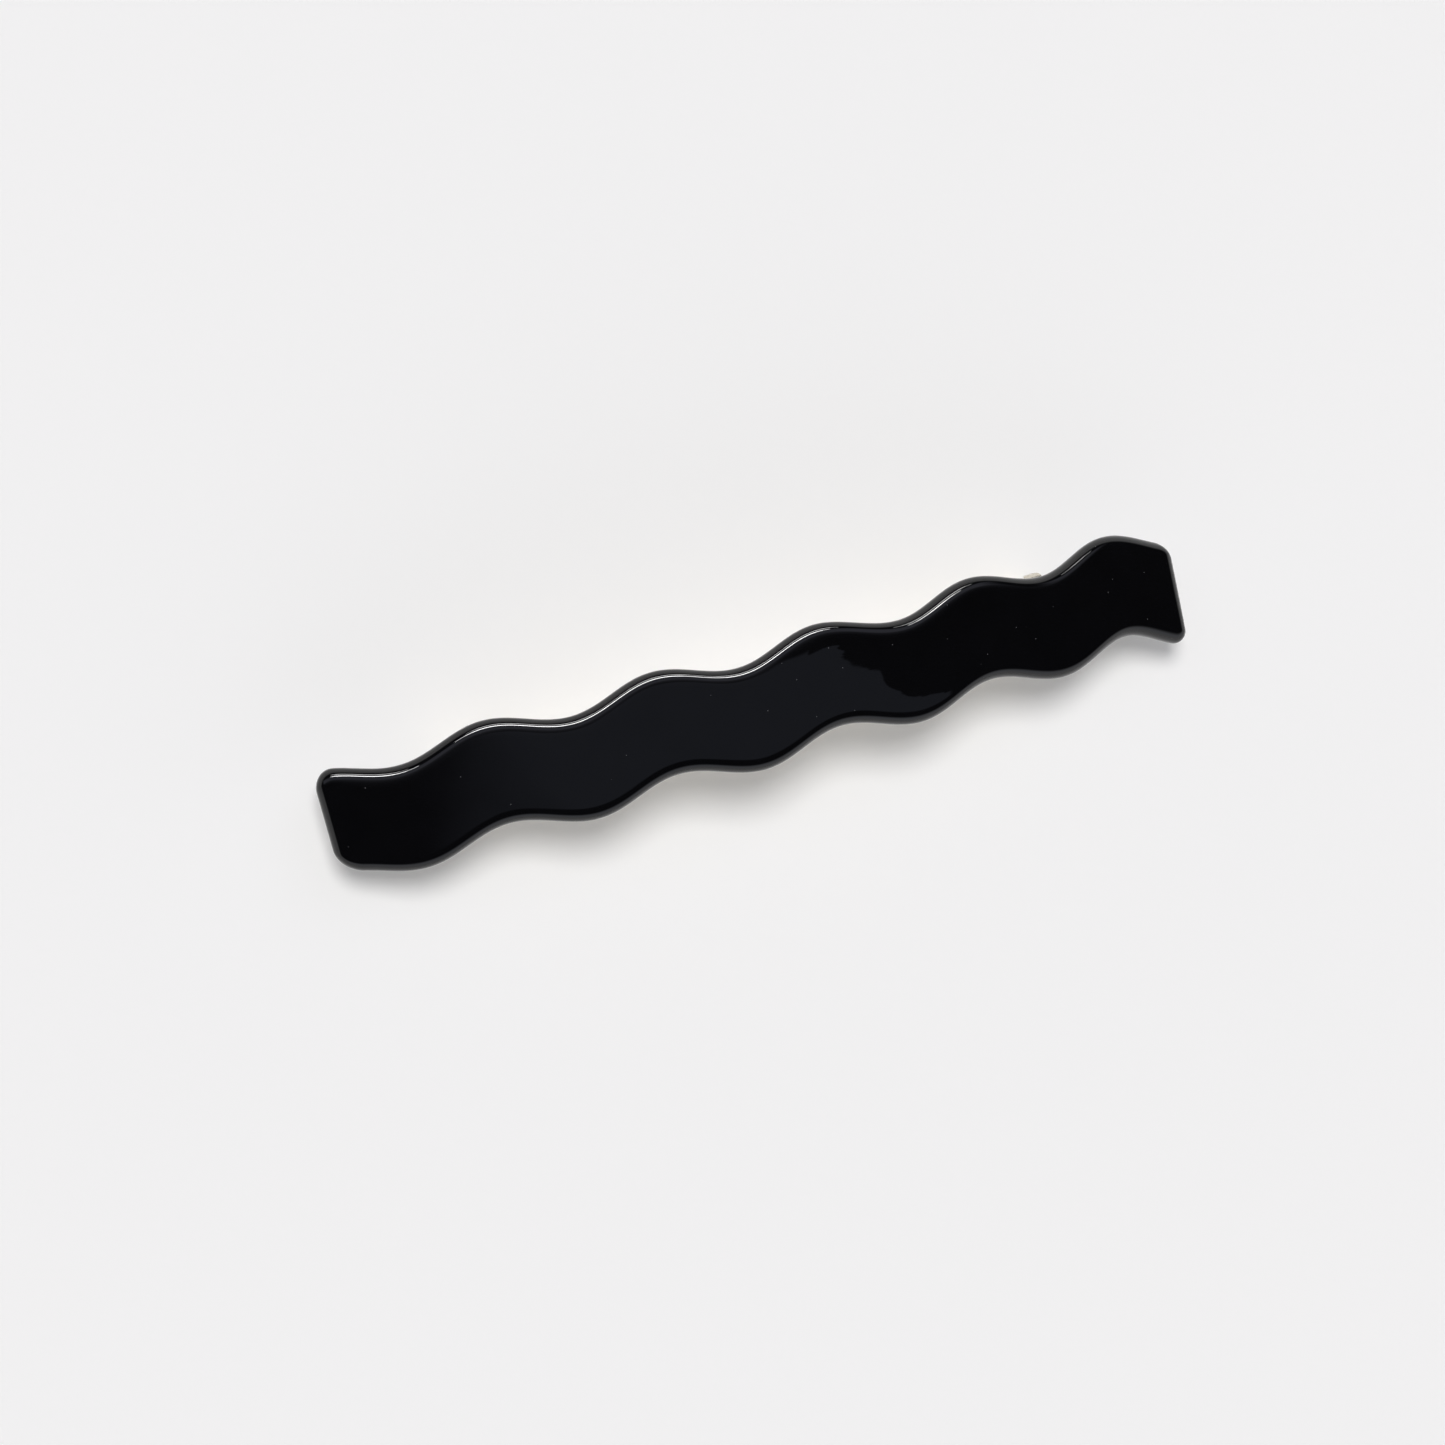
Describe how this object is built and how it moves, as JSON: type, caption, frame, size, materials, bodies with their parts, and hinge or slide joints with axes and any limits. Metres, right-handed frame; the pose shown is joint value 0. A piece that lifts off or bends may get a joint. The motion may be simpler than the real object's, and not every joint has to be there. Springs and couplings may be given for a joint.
{
  "type": "barrette",
  "caption": "Slim arched barrette with a wavy outline and a hinged spring clip with a pinch latch behind it, for holding a lock of hair.",
  "frame": {"origin": "on the surface that the closed clip stands on, under the middle of the object's box", "axes": "+X along the bar, from the hinge end to the latch end; +Y across the bar; +Z out of its front face"},
  "size_m": [0.0946, 0.0128, 0.0157],
  "materials": {
    "black_acetate": "polished gloss",
    "plated_steel": "pale gold plating, satin",
    "spring_steel": "pale gold plating on spring strip"
  },
  "bodies": {
    "bar_and_base": {"wave_body": "black_acetate", "base_plate": "plated_steel", "fixing_rivet_left": "plated_steel", "fixing_rivet_right": "plated_steel", "hinge_pin": "plated_steel", "latch_bridge": "spring_steel", "latch_rivet": "plated_steel"},
    "clasp_arm": {"clasp_arm": "plated_steel"},
    "tension_bar": {"tension_bar": "spring_steel"},
    "latch_prong_front": {"latch_prong_front": "spring_steel"},
    "latch_prong_rear": {"latch_prong_rear": "spring_steel"}
  },
  "joints": [
    {"name": "clasp_hinge", "type": "hinge", "parent": "bar_and_base", "child": "clasp_arm", "pos_m": [-0.03102, 0.00017, 0.00514], "axis": [0, 1, 0], "range_deg": [0, 95]},
    {"name": "tension_flex", "type": "hinge", "parent": "clasp_arm", "child": "tension_bar", "pos_m": [-0.03102, 0.00017, 0.00514], "axis": [0, 1, 0], "range_deg": [0, 1.8], "stiffness_Nm_per_rad": 0.05, "springref_deg": -8.59},
    {"name": "front_pinch", "type": "hinge", "parent": "bar_and_base", "child": "latch_prong_front", "pos_m": [0.0322, -0.00183, 0.00759], "axis": [0.9686, 0, -0.2485], "range_deg": [0, 8], "stiffness_Nm_per_rad": 0.01, "springref_deg": -11.46},
    {"name": "rear_pinch", "type": "hinge", "parent": "bar_and_base", "child": "latch_prong_rear", "pos_m": [0.0322, 0.00217, 0.00759], "axis": [-0.9686, 0, 0.2485], "range_deg": [0, 8], "stiffness_Nm_per_rad": 0.01, "springref_deg": -11.46}
  ],
  "couplings": [
    {"joint": "rear_pinch", "follows": "front_pinch", "ratio": 1}
  ]
}
